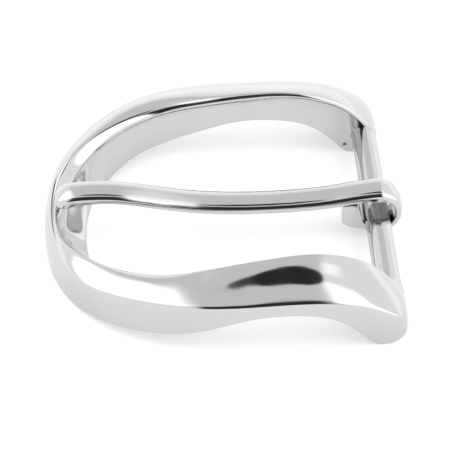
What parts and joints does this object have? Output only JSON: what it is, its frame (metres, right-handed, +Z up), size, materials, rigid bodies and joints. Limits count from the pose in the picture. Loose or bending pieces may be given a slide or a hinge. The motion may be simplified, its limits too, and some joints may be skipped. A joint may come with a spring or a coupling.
{
  "type": "belt buckle",
  "caption": "Polished belt buckle with a rounded front rim, a heel bar for the strap and a prong that swings on the bar.",
  "frame": {"origin": "middle of the buckle's length and width, on the surface it lies on", "axes": "+X from the front rim to the heel bar, +Y along the heel bar, +Z up through the face that is seen when worn"},
  "size_m": [0.0518, 0.0514, 0.011],
  "materials": {
    "frame_plate": "mirror polished nickel plate",
    "bar_plate": "polished nickel plate, rubbed by the strap",
    "prong_plate": "mirror polished nickel plate"
  },
  "bodies": {
    "frame": {"frame": "frame_plate", "heel_bar": "bar_plate"},
    "prong": {"prong": "prong_plate"}
  },
  "joints": [
    {"name": "prong_hinge", "type": "hinge", "parent": "frame", "child": "prong", "pos_m": [0.0223, 0, 0.00395], "axis": [0, 1, 0], "range_deg": [0, 345]}
  ]
}
